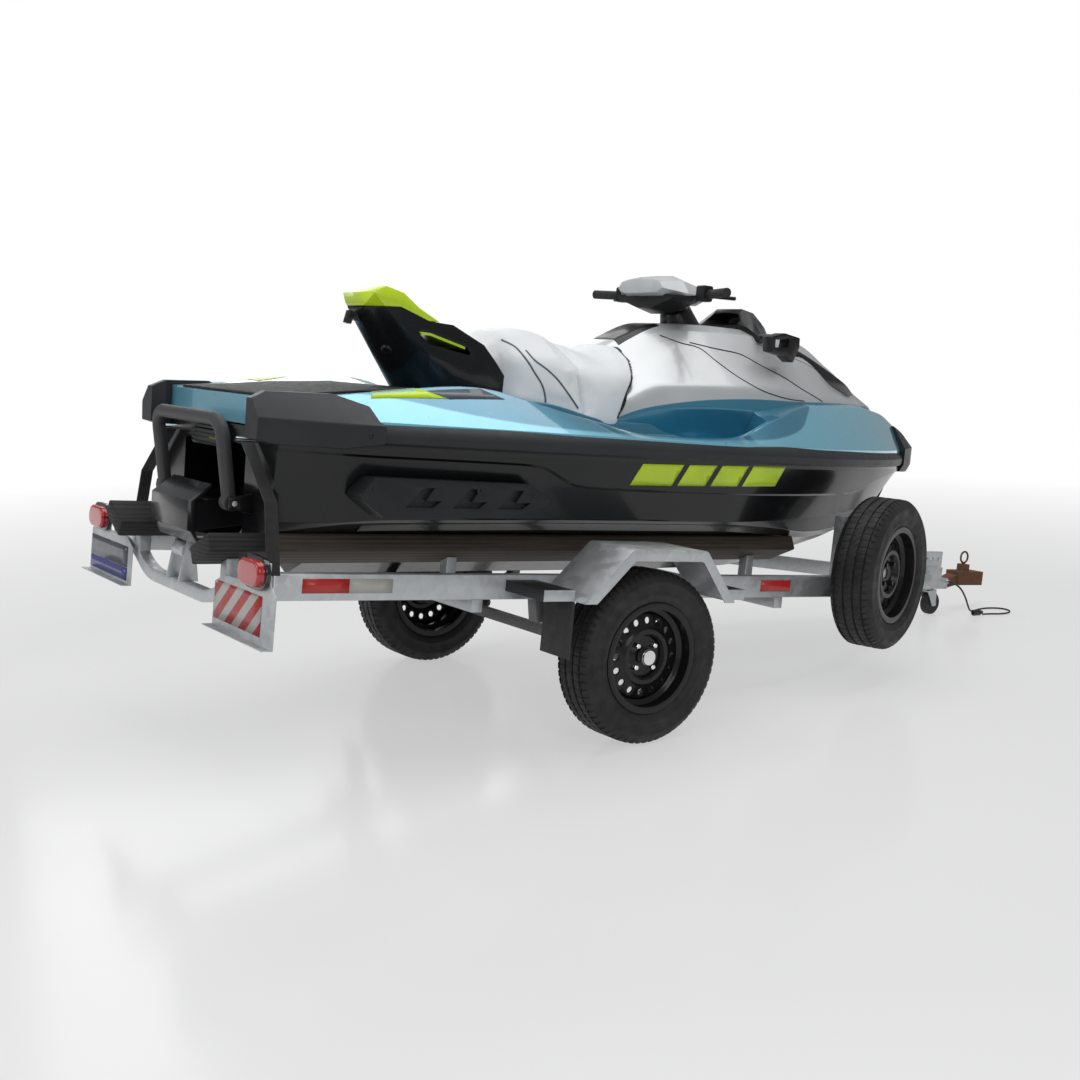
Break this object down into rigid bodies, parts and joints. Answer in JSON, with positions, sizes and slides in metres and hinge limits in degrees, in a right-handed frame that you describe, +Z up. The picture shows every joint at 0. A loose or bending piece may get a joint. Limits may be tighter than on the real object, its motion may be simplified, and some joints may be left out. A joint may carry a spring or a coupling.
{
  "type": "personal watercraft on trailer",
  "caption": "Sit-down personal watercraft with steerable jet pump, lying on a galvanised single-axle road trailer with side spare wheel.",
  "frame": {"origin": "on the floor, under the centre of the whole object's bounding box", "axes": "+X towards the bow and the coupler, +Y to port, +Z up"},
  "size_m": [4.032, 1.592, 1.5183],
  "materials": {
    "hull_black": "gloss",
    "deck_teal": "metallic gloss",
    "bumper_grey": "satin",
    "fin_grey": "satin",
    "deck_mat": "ribbed foam",
    "seat_vinyl": "soft vinyl",
    "tail_black": "gloss",
    "tail_lime": "gloss",
    "body_silver": "metallic silver",
    "trim_black": "satin",
    "bar_black": "satin",
    "pod_grey": "satin",
    "grip_rubber": "ribbed",
    "engine_iron": "matte",
    "pump_aluminium": "cast",
    "pump_black": "gloss",
    "impeller_steel": "polished",
    "gate_grey": "satin",
    "step_tube": "textured powder coat",
    "galvanised": "hot dip galvanised",
    "axle_steel": "galvanised, dull",
    "tyre_rubber": "matte",
    "wheel_black": "gloss",
    "flap_rubber": "matte",
    "lamp_red": "clear red",
    "bunk_pad": "ribbed",
    "coupler_rust": "rusty",
    "caster_rubber": "matte",
    "strap_webbing": "woven",
    "lead_rubber": "matte",
    "plug_plastic": "satin"
  },
  "bodies": {
    "frame_and_hull": {"hull": "hull_black", "deck": "deck_teal", "bumper_left": "bumper_grey", "bumper_right": "bumper_grey", "bow_cap": "bumper_grey", "sponson_left": "fin_grey", "sponson_right": "fin_grey", "rear_mat": "deck_mat", "seat_front": "seat_vinyl", "seat_rear": "seat_vinyl", "tail_fairing": "tail_black", "tail_cap": "tail_lime", "console": "body_silver", "steering_cone": "trim_black", "engine_block": "engine_iron", "pump_housing": "pump_black", "ride_plate": "pump_aluminium", "rail_left": "galvanised", "rail_right": "galvanised", "arm_left": "galvanised", "arm_right": "galvanised", "rear_crossmember": "galvanised", "cross_mid": "galvanised", "cross_front": "galvanised", "drawbar": "galvanised", "coupler": "coupler_rust", "axle_beam": "axle_steel", "spring_left": "axle_steel", "spring_right": "axle_steel", "fender_left": "galvanised", "fender_right": "galvanised", "mudflaps": "flap_rubber", "lamp_boards": "galvanised", "lamps": "lamp_red", "bunk_left": "bunk_pad", "bunk_right": "bunk_pad", "keel_roller": "galvanised", "spare_post": "galvanised", "spare_rim": "wheel_black", "spare_tyre": "tyre_rubber", "straps": "strap_webbing", "lead": "lead_rubber", "lead_plug": "plug_plastic"},
    "wheel_left": {"tyre_left": "tyre_rubber", "rim_left": "wheel_black"},
    "wheel_right": {"tyre_right": "tyre_rubber", "rim_right": "wheel_black"},
    "caster_swivel_fork": {"caster_fork": "galvanised"},
    "caster_roller": {"caster_wheel": "caster_rubber"},
    "steering_bars": {"handlebar": "bar_black", "bar_pod": "pod_grey", "grips": "grip_rubber"},
    "jet_nozzle": {"steering_nozzle": "pump_black"},
    "reverse_bucket": {"reverse_gate": "gate_grey"},
    "pump_rotor": {"impeller": "impeller_steel"},
    "step_loop": {"boarding_step": "step_tube"},
    "front_hood": {"hood": "body_silver", "hood_cowl": "trim_black"},
    "glovebox": {"glovebox_lid": "trim_black"}
  },
  "joints": [
    {"name": "wheel_left_spin", "type": "hinge", "parent": "frame_and_hull", "child": "wheel_left", "pos_m": [-0.65294, 0.666, 0.284], "axis": [0, 1, 0], "continuous": true},
    {"name": "wheel_right_spin", "type": "hinge", "parent": "frame_and_hull", "child": "wheel_right", "pos_m": [-0.65294, -0.666, 0.284], "axis": [0, 1, 0], "continuous": true},
    {"name": "caster_swivel", "type": "hinge", "parent": "frame_and_hull", "child": "caster_swivel_fork", "pos_m": [1.63483, 0, 0.12], "axis": [0, 0, 1], "continuous": true},
    {"name": "caster_spin", "type": "hinge", "parent": "caster_swivel_fork", "child": "caster_roller", "pos_m": [1.66083, 0, 0.052], "axis": [0, 1, 0], "continuous": true},
    {"name": "steering", "type": "hinge", "parent": "frame_and_hull", "child": "steering_bars", "pos_m": [0.0926, 0, 1.31539], "axis": [-0.331, 0, 0.9436], "range_deg": [-24, 24]},
    {"name": "nozzle_turn", "type": "hinge", "parent": "frame_and_hull", "child": "jet_nozzle", "pos_m": [-1.76524, 0, 0.77128], "axis": [0.0988, 0, 0.9951], "range_deg": [-22, 22]},
    {"name": "reverse_gate_lift", "type": "hinge", "parent": "frame_and_hull", "child": "reverse_bucket", "pos_m": [-1.76027, 0, 0.77078], "axis": [0, 1, 0], "range_deg": [0, 55]},
    {"name": "impeller_spin", "type": "hinge", "parent": "frame_and_hull", "child": "pump_rotor", "pos_m": [-1.6309, 0, 0.75794], "axis": [0.9951, 0, -0.0988], "continuous": true},
    {"name": "boarding_step_fold", "type": "hinge", "parent": "frame_and_hull", "child": "step_loop", "pos_m": [-1.87226, 0, 0.83717], "axis": [0, -1, 0], "range_deg": [0, 115]},
    {"name": "hood_lift", "type": "hinge", "parent": "frame_and_hull", "child": "front_hood", "pos_m": [0.29499, 0, 1.31941], "axis": [0, -1, 0], "range_deg": [0, 45]},
    {"name": "glovebox_lift", "type": "hinge", "parent": "frame_and_hull", "child": "glovebox", "pos_m": [-0.09667, 0, 1.34222], "axis": [0, 1, 0], "range_deg": [0, 55]}
  ],
  "couplings": [
    {"joint": "nozzle_turn", "follows": "steering", "ratio": -0.9}
  ]
}
